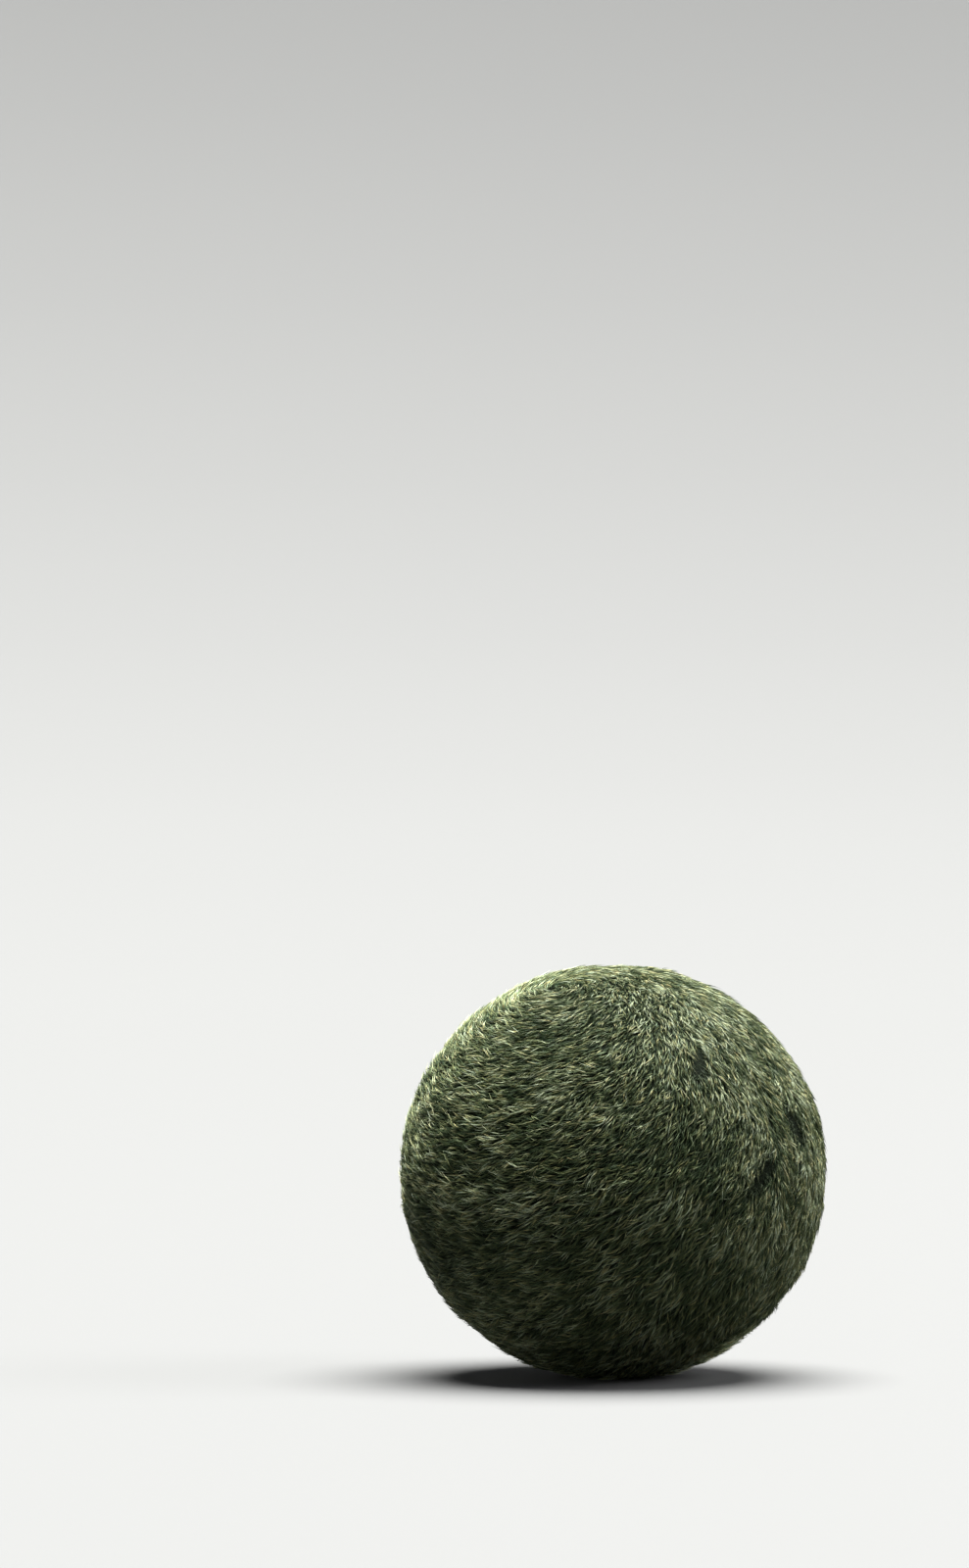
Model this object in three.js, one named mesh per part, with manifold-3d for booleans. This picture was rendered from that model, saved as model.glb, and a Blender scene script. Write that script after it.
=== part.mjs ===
// Moss ball: an aquarium ornament that looks like a marimo, and cleans the water.
// A hollow lattice ball of dark grey plastic, in two halves, sits inside a cover
// of dark green pile fabric, in two panels that meet at an upright seam.
// The ball is a little wider than it is tall and rests on a small flat spot.
//
// Millimetres, +Z up. The origin is the middle of the flat spot, and -Y is the front.
// The cover is modelled out to the tips of its pile.

import * as THREE from "three";
import { mergeVertices } from "three/addons/utils/BufferGeometryUtils.js";
import Module from "manifold-3d";

// Driving dimensions
const WIDTH = 47; // across the pile tips
const HEIGHT = 45.4; // from the flat spot to the pile tips on top
const FLAT_RADIUS = 5.8; // the flat spot it rests on
const COVER_THICKNESS = 2.8; // pile and backing together, at the ball's waist
const CLEARANCE = 0.3; // between pieces that meet
const SEAM_TURN = -33; // degrees about +Z from +X to the seam's front edge
const RIB_WIDTH = 1.2; // of the lattice, at its outer face
const RIB_DEPTH = 3.2; // of the lattice, towards the centre
const HUB_HOLE_RADIUS = 0.9; // where ten ribs meet

// Facets
const COVER_SIDES = 40;
const COVER_STEPS = 20;
const HOLLOW_SIDES = 36;
const HOLLOW_STEPS = 18;
const RIB_STEPS = 2;

// Worked out
const WIDEST_RADIUS = WIDTH / 2;
// The side is an arc of an ellipse that is WIDEST_RADIUS across and meets the flat spot.
const FLAT_SHARE = Math.sqrt(1 - (FLAT_RADIUS / WIDEST_RADIUS) ** 2);
const HALF_HEIGHT = HEIGHT / (1 + FLAT_SHARE);
const CENTRE_HEIGHT = HEIGHT - HALF_HEIGHT;
const HOLLOW_RADIUS = WIDEST_RADIUS - COVER_THICKNESS;
const CAGE_RADIUS = HOLLOW_RADIUS - CLEARANCE;

const pileFabric = new THREE.MeshStandardMaterial({
  color: 0x4f563f,
  roughness: 0.85,
  metalness: 0,
});
const cagePlastic = new THREE.MeshStandardMaterial({
  color: 0x3c3e3e,
  roughness: 0.6,
  metalness: 0,
});

const wasm = await Module();
wasm.setup();

// A closed three.js geometry as a solid that can be cut.
function solidOf(geometry) {
  const bare = geometry.clone();
  bare.deleteAttribute("normal");
  bare.deleteAttribute("uv");
  const merged = mergeVertices(bare, 1e-4);
  return new wasm.Manifold(
    new wasm.Mesh({
      numProp: 3,
      vertProperties: new Float32Array(merged.attributes.position.array),
      triVerts: new Uint32Array(merged.index.array),
    }),
  );
}

// The solid as a geometry again.
function geometryOf(solid) {
  const mesh = solid.getMesh();
  const geometry = new THREE.BufferGeometry();
  geometry.setAttribute(
    "position",
    new THREE.BufferAttribute(new Float32Array(mesh.vertProperties), 3),
  );
  geometry.setIndex(new THREE.BufferAttribute(new Uint32Array(mesh.triVerts), 1));
  geometry.computeVertexNormals();
  return geometry;
}

function namedMesh(name, geometry, material) {
  const mesh = new THREE.Mesh(geometry, material);
  mesh.name = name;
  return mesh;
}

// The cover's outside: a flat spot, then an elliptical side that closes on top.
function coverOutside() {
  const lowest = -Math.acos(FLAT_RADIUS / WIDEST_RADIUS);
  const profile = [new THREE.Vector2(0, 0)];
  for (let i = 0; i < COVER_STEPS; i++) {
    const angle = THREE.MathUtils.lerp(lowest, Math.PI / 2, i / COVER_STEPS);
    profile.push(
      new THREE.Vector2(
        WIDEST_RADIUS * Math.cos(angle),
        i === 0 ? 0 : CENTRE_HEIGHT + HALF_HEIGHT * Math.sin(angle),
      ),
    );
  }
  profile.push(new THREE.Vector2(0, HEIGHT));
  return new THREE.LatheGeometry(profile, COVER_SIDES).rotateX(Math.PI / 2);
}

// The round space inside the cover.
function coverHollow() {
  return new THREE.SphereGeometry(HOLLOW_RADIUS, HOLLOW_SIDES, HOLLOW_STEPS)
    .rotateX(Math.PI / 2)
    .translate(0, 0, CENTRE_HEIGHT);
}

// One panel of the cover. side is -1 for the panel in front of the seam, 1 for the other.
function coverPanel(name, side) {
  const reach = 2 * WIDTH;
  const half = new THREE.BoxGeometry(reach, reach, reach)
    .translate(0, (side * (reach + CLEARANCE)) / 2, 0)
    .rotateZ(THREE.MathUtils.degToRad(SEAM_TURN));
  const shell = solidOf(coverOutside()).subtract(solidOf(coverHollow()));
  return namedMesh(name, geometryOf(shell.intersect(solidOf(half))), pileFabric);
}

// The 12 corners of an icosahedron, which has x = 0, y = 0 and z = 0 as mirror planes.
function icosahedronCorners() {
  const golden = (1 + Math.sqrt(5)) / 2;
  const corners = [];
  for (const a of [-1, 1])
    for (const b of [-golden, golden])
      corners.push(
        new THREE.Vector3(0, a, b).normalize(),
        new THREE.Vector3(a, b, 0).normalize(),
        new THREE.Vector3(b, 0, a).normalize(),
      );
  return corners;
}

// The lattice's 120 cells as unit triangles, each from a corner of the icosahedron,
// the middle of one of its edges and the middle of one of its faces, facing out.
function latticeCells() {
  const corners = icosahedronCorners();
  const near = (p, q) => p.angleTo(q) < 1.2;
  const cells = [];
  corners.forEach((a, i) =>
    corners.forEach((b, j) =>
      corners.forEach((c, k) => {
        if (i >= j || j >= k || !near(a, b) || !near(b, c) || !near(a, c)) return;
        const face = a.clone().add(b).add(c).normalize();
        for (const [p, q] of [[a, b], [b, c], [c, a]]) {
          const edge = p.clone().add(q).normalize();
          for (const end of [p, q]) {
            const outward = end.clone().cross(edge).dot(face) > 0;
            cells.push(outward ? [end, edge, face] : [end, face, edge]);
          }
        }
      }),
    ),
  );
  return cells;
}

// A direction part of the way round the great circle from p to q.
function along(p, q, share) {
  const angle = p.angleTo(q);
  return p
    .clone()
    .multiplyScalar(Math.sin((1 - share) * angle))
    .addScaledVector(q, Math.sin(share * angle))
    .normalize();
}

// The corner of a cell's window, set in from the two sides that meet there.
function windowCorner(before, after, setBefore, setAfter, corner) {
  const across = before.clone().cross(after);
  const share = before.dot(after);
  const scale = 1 / (1 - share * share);
  const inPlane = before
    .clone()
    .multiplyScalar((setBefore - share * setAfter) * scale)
    .addScaledVector(after, (setAfter - share * setBefore) * scale);
  const out = Math.sqrt((1 - inPlane.lengthSq()) / across.lengthSq());
  return inPlane.addScaledVector(across, across.dot(corner) > 0 ? out : -out);
}

// The rib pieces round one cell's window, added to a list of triangles. The cell's first
// corner is a hub, with a round hole through it.
function addCell(triangles, cell) {
  const onRim = (p, q) => Math.abs(p.z) < 1e-9 && Math.abs(q.z) < 1e-9;
  const halfRib = RIB_WIDTH / 2 / CAGE_RADIUS;
  const sides = cell.map((p, i) => {
    const q = cell[(i + 1) % 3];
    const rim = onRim(p, q);
    return { p, q, rim, inward: p.clone().cross(q).normalize(), set: rim ? 2 * halfRib : halfRib };
  });
  const corners = sides.map((side, i) => {
    const last = sides[(i + 2) % 3];
    return windowCorner(last.inward, side.inward, last.set, side.set, side.p);
  });

  const outer = (p) => p.clone().multiplyScalar(CAGE_RADIUS);
  const inner = (p) => p.clone().multiplyScalar(CAGE_RADIUS - RIB_DEPTH);
  const quad = (a, b, c, d) => triangles.push(a, b, c, a, c, d);
  const wall = (a, b) => quad(outer(b), outer(a), inner(a), inner(b));

  const hub = cell[0];
  const onHole = (p) => along(hub, p, HUB_HOLE_RADIUS / CAGE_RADIUS / hub.angleTo(p));
  const holeEdge = [onHole(cell[2]), onHole(corners[0]), onHole(cell[1])];
  for (let i = 0; i < 2; i++) {
    const [a, b] = [holeEdge[i], holeEdge[i + 1]];
    triangles.push(outer(a), outer(b), outer(corners[0]));
    triangles.push(inner(corners[0]), inner(b), inner(a));
    wall(a, b);
  }

  sides.forEach((side, i) => {
    const start = i === 0 ? holeEdge[2] : side.p;
    const end = i === 2 ? holeEdge[0] : side.q;
    const [from, to] = [corners[i], corners[(i + 1) % 3]];
    for (let step = 0; step < RIB_STEPS; step++) {
      const [s, t] = [step / RIB_STEPS, (step + 1) / RIB_STEPS];
      const [a, b] = [along(start, end, s), along(start, end, t)];
      const [c, d] = [along(from, to, t), along(from, to, s)];
      quad(outer(a), outer(b), outer(c), outer(d));
      quad(inner(d), inner(c), inner(b), inner(a));
      wall(c, d);
      if (side.rim) wall(a, b);
    }
  });
}

// One half of the cage. side is 1 for the upper half, -1 for the lower.
function cageHalf(name, side) {
  const triangles = [];
  for (const cell of latticeCells()) {
    const height = cell[0].z + cell[1].z + cell[2].z;
    if (height * side > 0) addCell(triangles, cell);
  }
  const loose = new THREE.BufferGeometry().setFromPoints(triangles);
  const geometry = mergeVertices(loose, 1e-4);
  geometry.computeVertexNormals();
  const mesh = namedMesh(name, geometry, cagePlastic);
  mesh.position.z = CENTRE_HEIGHT + (side * CLEARANCE) / 2;
  return mesh;
}

const mossBall = new THREE.Group();
mossBall.add(
  coverPanel("pile_cover_front", -1),
  coverPanel("pile_cover_side", 1),
  cageHalf("cage_upper", 1),
  cageHalf("cage_lower", -1),
);

export default mossBall;
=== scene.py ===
"""A moss ball for an aquarium: short combed pile fabric round a hollow plastic lattice.

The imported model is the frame. Everything is in metres, +Z up, with the middle of the
flat spot at the origin and -Y towards the viewer. The cover's two panels are made
here, each as a dark backing shell and thousands of separate fibres. The two halves of
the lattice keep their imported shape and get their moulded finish.
"""

import logging
import math
from dataclasses import dataclass
from enum import Enum
from functools import reduce
from typing import Any, Iterable

import bpy
import numpy as np
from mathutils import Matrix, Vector


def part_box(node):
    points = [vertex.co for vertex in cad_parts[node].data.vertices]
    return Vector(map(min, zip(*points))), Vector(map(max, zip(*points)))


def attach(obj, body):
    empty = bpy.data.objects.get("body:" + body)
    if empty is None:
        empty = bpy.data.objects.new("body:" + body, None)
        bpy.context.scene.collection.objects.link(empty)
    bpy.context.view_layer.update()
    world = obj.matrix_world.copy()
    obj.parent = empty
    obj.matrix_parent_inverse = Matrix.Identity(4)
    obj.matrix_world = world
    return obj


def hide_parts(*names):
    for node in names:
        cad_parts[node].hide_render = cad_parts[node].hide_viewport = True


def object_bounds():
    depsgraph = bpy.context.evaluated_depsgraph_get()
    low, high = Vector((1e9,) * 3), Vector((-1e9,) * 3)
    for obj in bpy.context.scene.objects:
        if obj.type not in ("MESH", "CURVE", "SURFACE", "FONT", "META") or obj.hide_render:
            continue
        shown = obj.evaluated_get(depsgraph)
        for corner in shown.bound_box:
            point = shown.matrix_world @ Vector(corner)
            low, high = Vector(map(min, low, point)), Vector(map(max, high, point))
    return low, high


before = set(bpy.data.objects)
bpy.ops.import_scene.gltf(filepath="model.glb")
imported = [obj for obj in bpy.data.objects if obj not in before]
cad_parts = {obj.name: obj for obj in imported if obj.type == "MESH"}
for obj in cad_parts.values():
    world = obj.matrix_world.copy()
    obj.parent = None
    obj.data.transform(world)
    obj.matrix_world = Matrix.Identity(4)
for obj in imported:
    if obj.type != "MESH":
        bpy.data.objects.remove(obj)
PACKED_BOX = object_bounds()

MM = 0.001
BODY = "root"
FIBRE_MAP = "OFBake"

# Noise: the values that most of it lies between, and how finely it changes
MOST_NOISE = (0.35, 0.65)
WIDE_NOISE = (0.3, 0.7)
ALL_NOISE = (0.25, 0.75)
CAST_CHANGES = 26.0  # from the darkest fibre to the palest
GRAIN_DETAIL = 4.0
BLOOM_SIZE = 12  # in grains

Colour = tuple[float, float, float, float]
Tint = tuple[float, float, float]
Span = tuple[Any, Any]

log = logging.getLogger("moss_ball")


class Panel(Enum):
    """The cover's two panels, by the side of the seam that each lies on."""

    FRONT = -1
    SIDE = 1


# Node trees


def live(node: bpy.types.Node) -> bpy.types.NodeSocket:
    """Finds a node's output that is switched on, where its settings choose one."""
    return next(socket for socket in node.outputs if socket.enabled)


def as_inputs(sizes: Any) -> dict[str, Any]:
    """Names a dataclass's fields as a tree's inputs: root_start becomes Root start."""
    return {name.replace("_", " ").capitalize(): value for name, value in vars(sizes).items()}


class Tree:
    """A node tree in the making, for a material, a shader group or Geometry Nodes."""

    def __init__(self, tree: bpy.types.NodeTree) -> None:
        """Empties a tree, to start on it."""
        self.tree = tree
        tree.nodes.clear()

    @classmethod
    def group(cls, name: str, kind: str) -> "Tree":
        """Starts a node group of a kind, such as ShaderNodeTree, with no nodes yet."""
        return cls(bpy.data.node_groups.new(name, kind))

    def takes(self, names: dict[str, str]) -> dict[str, bpy.types.NodeSocket]:
        """Gives the group its inputs.

        Args:
            names: Each input's name and type, in order.

        Returns:
            The sockets inside the group that hold what it is given, by name.
        """
        for name, kind in names.items():
            self.tree.interface.new_socket(name=name, in_out="INPUT", socket_type=kind)
        return dict(self.tree.nodes.new("NodeGroupInput").outputs.items())

    def gives(self, name: str, kind: str, result: bpy.types.NodeSocket) -> None:
        """Gives the group an output.

        Args:
            name: The output's name.
            kind: Its type.
            result: What it puts out.
        """
        self.tree.interface.new_socket(name=name, in_out="OUTPUT", socket_type=kind)
        ends = [node for node in self.tree.nodes if node.bl_idname == "NodeGroupOutput"]
        end = ends[0] if ends else self.tree.nodes.new("NodeGroupOutput")
        self.tree.links.new(result, end.inputs[name])

    def feed(self, node: bpy.types.Node, sockets: dict[str | int, Any]) -> None:
        """Links or sets some of a node's inputs.

        Args:
            node: The node.
            sockets: What goes into each input, by identifier, name or place.
        """
        by_identifier = {socket.identifier: socket for socket in node.inputs}
        for key, value in sockets.items():
            socket = by_identifier.get(key) or node.inputs[key]
            if isinstance(value, bpy.types.NodeSocket):
                self.tree.links.new(value, socket)
            else:
                socket.default_value = value

    def node(
        self, kind: str, sockets: dict[str | int, Any] | None = None, **settings: Any
    ) -> bpy.types.Node:
        """Adds a node.

        Args:
            kind: Blender's name for the node.
            sockets: What goes into its inputs.
            **settings: The node's own settings, made before its inputs are fed.

        Returns:
            The node.
        """
        made = self.tree.nodes.new(kind)
        for name, value in settings.items():
            setattr(made, name, value)
        self.feed(made, sockets or {})
        return made

    def math(self, operation: str, *terms: Any) -> bpy.types.NodeSocket:
        """Adds a Math node and returns its result."""
        made = self.node("ShaderNodeMath", dict(enumerate(terms)), operation=operation)
        return made.outputs["Value"]

    def times(self, first: Any, *factors: Any) -> bpy.types.NodeSocket:
        """Multiplies a number by each factor in turn and returns the product."""
        return reduce(lambda product, factor: self.math("MULTIPLY", product, factor), factors, first)

    def plus(self, first: Any, *terms: Any) -> bpy.types.NodeSocket:
        """Adds each term in turn to a number and returns the sum."""
        return reduce(lambda total, term: self.math("ADD", total, term), terms, first)

    def vector(self, operation: str, *terms: Any) -> bpy.types.NodeSocket:
        """Adds a Vector Math node and returns its vector."""
        made = self.node("ShaderNodeVectorMath", dict(enumerate(terms)), operation=operation)
        return made.outputs["Vector"]

    def scaled(self, vector: Any, factor: Any) -> bpy.types.NodeSocket:
        """Adds a node that scales a vector and returns the result."""
        sockets = {"Vector": vector, "Scale": factor}
        return self.node("ShaderNodeVectorMath", sockets, operation="SCALE").outputs["Vector"]

    def length(self, vector: Any) -> bpy.types.NodeSocket:
        """Adds a node that measures a vector and returns its length."""
        made = self.node("ShaderNodeVectorMath", {0: vector}, operation="LENGTH")
        return made.outputs["Value"]

    def parts(self, vector: Any) -> dict[str, bpy.types.NodeSocket]:
        """Adds a node that takes a vector apart and returns its X, Y and Z."""
        return dict(self.node("ShaderNodeSeparateXYZ", {"Vector": vector}).outputs.items())

    def whole(self, x: Any, y: Any, z: Any) -> bpy.types.NodeSocket:
        """Adds a node that puts X, Y and Z together and returns the vector."""
        return self.node("ShaderNodeCombineXYZ", {"X": x, "Y": y, "Z": z}).outputs["Vector"]

    def noise(self, place: Any, scale: Any, detail: float = 2.0) -> bpy.types.NodeSocket:
        """Adds a Noise Texture and returns its value."""
        sockets = {"Vector": place, "Scale": scale, "Detail": detail}
        return self.node("ShaderNodeTexNoise", sockets).outputs["Fac"]

    def mapped(self, value: Any, old: Span, new: Span = (0.0, 1.0)) -> bpy.types.NodeSocket:
        """Adds a Map Range node that stays in its range.

        Args:
            value: What is mapped.
            old: The two values that it runs between.
            new: The two values that these become.

        Returns:
            The mapped value.
        """
        sockets = {"Value": value, "From Min": old[0], "From Max": old[1]}
        sockets |= {"To Min": new[0], "To Max": new[1]}
        return self.node("ShaderNodeMapRange", sockets).outputs["Result"]

    def mixed(self, share: Any, a: Any, b: Any) -> bpy.types.NodeSocket:
        """Mixes two colours, by the second one's share, and returns the mix."""
        sockets = {"Factor_Float": share, "A_Color": a, "B_Color": b}
        return live(self.node("ShaderNodeMix", sockets, data_type="RGBA"))

    def placed(self, group: bpy.types.NodeTree, sockets: dict[str, Any]) -> bpy.types.Node:
        """Adds a shader group with its inputs and returns its node."""
        return self.node("ShaderNodeGroup", sockets, node_tree=group)


class GeometryTree(Tree):
    """A Geometry Nodes tree in the making."""

    def named(self, name: str, kind: str = "FLOAT_VECTOR") -> bpy.types.NodeSocket:
        """Reads an attribute by name."""
        return live(self.node("GeometryNodeInputNamedAttribute", {"Name": name}, data_type=kind))

    def stored(
        self,
        geometry: bpy.types.NodeSocket,
        name: str,
        value: Any,
        kind: str = "FLOAT_VECTOR",
        domain: str = "POINT",
    ) -> bpy.types.NodeSocket:
        """Stores an attribute.

        Args:
            geometry: What it is stored on.
            name: Its name.
            value: Its value.
            kind: Its type.
            domain: What each value belongs to.

        Returns:
            The geometry with the attribute.
        """
        sockets = {"Geometry": geometry, "Name": name, "Value": value}
        settings = {"data_type": kind, "domain": domain}
        return self.node("GeometryNodeStoreNamedAttribute", sockets, **settings).outputs[0]

    def random(self, span: Span, seed: Any) -> bpy.types.NodeSocket:
        """Draws a number in a span for each point or fibre and returns it."""
        sockets = {"Min_001": span[0], "Max_001": span[1], "Seed": seed}
        return live(self.node("FunctionNodeRandomValue", sockets, data_type="FLOAT"))

    def sown(self, surface: Any, density: Any, seed: Any) -> bpy.types.Node:
        """Scatters points over a surface and returns the node that does it."""
        sockets = {"Mesh": surface, "Density": density, "Seed": seed}
        return self.node("GeometryNodeDistributePointsOnFaces", sockets)

    def picked(self, geometry: Any, value: Any, index: Any, kind: str) -> bpy.types.NodeSocket:
        """Reads a value of some type from one point of a geometry."""
        sockets = {"Geometry": geometry, "Value": value, "Index": index}
        return self.node("GeometryNodeSampleIndex", sockets, data_type=kind).outputs[0]

    def turned(self, vector: Any, axis: Any, angle: Any) -> bpy.types.NodeSocket:
        """Turns a vector about an axis and returns the result."""
        sockets = {"Vector": vector, "Axis": axis, "Angle": angle}
        return self.node("ShaderNodeVectorRotate", sockets).outputs["Vector"]


@dataclass(frozen=True)
class Groups:
    """The shader groups that more than one material uses."""

    dyed_fibre: bpy.types.NodeTree
    fine_grain: bpy.types.NodeTree

    @classmethod
    def make(cls) -> "Groups":
        """Builds each group once."""
        return cls(cls.make_dyed_fibre(), cls.make_fine_grain())

    @staticmethod
    def make_dyed_fibre() -> bpy.types.NodeTree:
        """Builds the group that colours dyed fibre, with painted shade towards its root.

        The dye takes unevenly: from one tone to the next it casts cool or warm.

        Returns:
            A group that turns a place along the fibre, and the fibre's own tone, into
            its colour there, with painted shade towards the root.
        """
        tree = Tree.group("Dyed fibre", "ShaderNodeTree")
        colour, number = "NodeSocketColor", "NodeSocketFloat"
        names = {"Along": number, "Tone": number, "Root start": number, "Root end": number}
        names |= dict.fromkeys(("Root", "Deep", "Body", "Pale", "Cool", "Warm"), colour)
        given = tree.takes(names)
        deep_to_body = tree.mapped(given["Tone"], (0.0, 0.5))
        body_to_pale = tree.mapped(given["Tone"], (0.5, 1.0))
        dye = tree.mixed(deep_to_body, given["Deep"], given["Body"])
        dye = tree.mixed(body_to_pale, dye, given["Pale"])
        batch = tree.noise(tree.whole(0.0, given["Tone"], 0.0), CAST_CHANGES, 0.0)
        cast = tree.mixed(tree.mapped(batch, MOST_NOISE), given["Cool"], given["Warm"])
        dye = tree.vector("MULTIPLY", dye, cast)
        # Towards the root the dye gives way to the root colour, which is painted shade deep in the
        # pile
        past_root = tree.mapped(given["Along"], (given["Root start"], given["Root end"]))
        tree.gives("Colour", colour, tree.mixed(past_root, given["Root"], dye))
        return tree.tree

    @staticmethod
    def make_fine_grain() -> bpy.types.NodeTree:
        """Builds the group that gives a surface its fine grain.

        Returns:
            A group that puts out a mask over the surface, and its bumped normal.
        """
        tree = Tree.group("Fine grain", "ShaderNodeTree")
        number = "NodeSocketFloat"
        given = tree.takes({"Grain size": number, "Depth": number})
        place = tree.node("ShaderNodeTexCoord").outputs["Object"]
        scale = tree.math("DIVIDE", 1.0, given["Grain size"])
        grain = tree.noise(place, scale, GRAIN_DETAIL)
        bump = tree.node("ShaderNodeBump", {"Height": grain, "Distance": given["Depth"]})
        tree.gives("Mask", number, grain)
        tree.gives("Normal", "NodeSocketVector", bump.outputs["Normal"])
        return tree.tree


# Finishes


@dataclass(frozen=True)
class Finish:
    """A finish: its name, the values that are the same all over, and those that aren't."""

    name: str
    even: dict[str, Any]

    def material(self, groups: Groups) -> bpy.types.Material:
        """Makes the finish.

        Args:
            groups: The shared shader groups.

        Returns:
            The material.
        """
        material = bpy.data.materials.new(self.name)
        material.use_nodes = True
        tree = Tree(material.node_tree)
        surface = tree.node("ShaderNodeBsdfPrincipled", self.even)
        tree.node("ShaderNodeOutputMaterial", {"Surface": surface.outputs["BSDF"]})
        tree.feed(surface, self.uneven(tree, groups))
        return material

    def uneven(self, tree: Tree, groups: Groups) -> dict[str, Any]:
        """Makes what changes over the surface.

        Args:
            tree: The material's tree.
            groups: The shared shader groups.

        Returns:
            What goes into the surface's inputs, by name.
        """
        raise NotImplementedError


@dataclass(frozen=True)
class Dye:
    """The colours of pile: painted shade at the root, and the dye of dark, middling and pale fibres.
    """

    # Painted shade deep in the pile, where the fibre meets the backing
    root: Colour
    deep: Colour
    body: Colour
    pale: Colour
    root_start: float = 0.15
    root_end: float = 0.8
    cool: Colour = (0.88, 1.00, 1.04, 1.0)
    warm: Colour = (1.15, 1.01, 0.80, 1.0)


@dataclass(frozen=True)
class PileFinish(Finish):
    """Dyed synthetic fibre, with painted shade that darkens it towards the root."""

    dye: Dye

    def uneven(self, tree: Tree, groups: Groups) -> dict[str, Any]:
        """Colours the fibres by their own map: along the fibre, then tone.

        Args:
            tree: The material's tree.
            groups: The shared shader groups.

        Returns:
            The surface's colour.
        """
        chart = tree.parts(tree.node("ShaderNodeUVMap", uv_map=FIBRE_MAP).outputs["UV"])
        sockets = {"Along": chart["X"], "Tone": chart["Y"]} | as_inputs(self.dye)
        return {"Base Color": tree.placed(groups.dyed_fibre, sockets).outputs["Colour"]}


@dataclass(frozen=True)
class BackingFinish(Finish):
    """The felted foot of the pile, uneven in colour, painted near-black as shade under the pile."""

    dye: Dye
    grain_size: float
    grain_depth: float

    def uneven(self, tree: Tree, groups: Groups) -> dict[str, Any]:
        """Felts the surface.

        Args:
            tree: The material's tree.
            groups: The shared shader groups.

        Returns:
            The surface's colour and bumps.
        """
        sockets = {"Grain size": self.grain_size, "Depth": self.grain_depth}
        grain = tree.placed(groups.fine_grain, sockets).outputs
        # The backing's near-black colours are painted shade deep under the pile and in its partings
        sockets = {"Along": grain["Mask"], "Tone": grain["Mask"]} | as_inputs(self.dye)
        dye_and_shade = tree.placed(groups.dyed_fibre, sockets)
        return {"Base Color": dye_and_shade.outputs["Colour"], "Normal": grain["Normal"]}


@dataclass(frozen=True)
class MouldedFinish(Finish):
    """Dark grey moulded plastic, grained, with a little bloom on it."""

    dark: Colour
    light: Colour
    grain_size: float
    grain_depth: float
    roughness: tuple[float, float]

    def uneven(self, tree: Tree, groups: Groups) -> dict[str, Any]:
        """Grains the surface and lays the bloom on it.

        Args:
            tree: The material's tree.
            groups: The shared shader groups.

        Returns:
            The surface's colour, roughness and bumps.
        """
        sockets = {"Grain size": self.grain_size, "Depth": self.grain_depth}
        grain = tree.placed(groups.fine_grain, sockets).outputs
        place = tree.node("ShaderNodeTexCoord").outputs["Object"]
        bloom = tree.noise(place, 1 / (BLOOM_SIZE * self.grain_size))
        colour = tree.mixed(tree.mapped(bloom, MOST_NOISE), self.dark, self.light)
        roughness = tree.mapped(grain["Mask"], WIDE_NOISE, self.roughness)
        return {"Base Color": colour, "Roughness": roughness, "Normal": grain["Normal"]}


@dataclass(frozen=True)
class PaperFinish(Finish):
    """Pale paper, which throws less light back at the ball than it shows."""

    paper: Colour
    bounce: Colour

    def uneven(self, tree: Tree, groups: Groups) -> dict[str, Any]:
        """Gives the paper one colour to look at and another to throw back."""
        seen = tree.node("ShaderNodeLightPath").outputs["Is Camera Ray"]
        return {"Base Color": tree.mixed(seen, self.bounce, self.paper)}


class Dyehouse:
    """Makes each finish's material once, for all the pieces that share it."""

    def __init__(self) -> None:
        """Builds the shared shader groups."""
        self.groups = Groups.make()
        self.made: dict[str, bpy.types.Material] = {}

    def dress(self, finish: Finish) -> bpy.types.Material:
        """Gives a finish's material.

        Args:
            finish: The finish.

        Returns:
            Its material, which is made the first time that it is asked for.
        """
        if finish.name not in self.made:
            self.made[finish.name] = finish.material(self.groups)
        return self.made[finish.name]


# The ball's shape, and the way its pile lies


def unit(vectors: np.ndarray) -> np.ndarray:
    """Brings vectors, one to a row, to length 1."""
    return vectors / np.linalg.norm(vectors, axis=1, keepdims=True)


def heading(azimuth: float, elevation: float = 0.0) -> np.ndarray:
    """Points out from the ball's middle, by degrees about +Z from +X and above level."""
    a, e = math.radians(azimuth), math.radians(elevation)
    return np.array([math.cos(a) * math.cos(e), math.sin(a) * math.cos(e), math.sin(e)])


def total(amounts: Iterable[np.ndarray], directions: np.ndarray) -> np.ndarray:
    """Adds up amounts that are each given for the same directions."""
    return sum(amounts, np.zeros(len(directions)))


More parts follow.
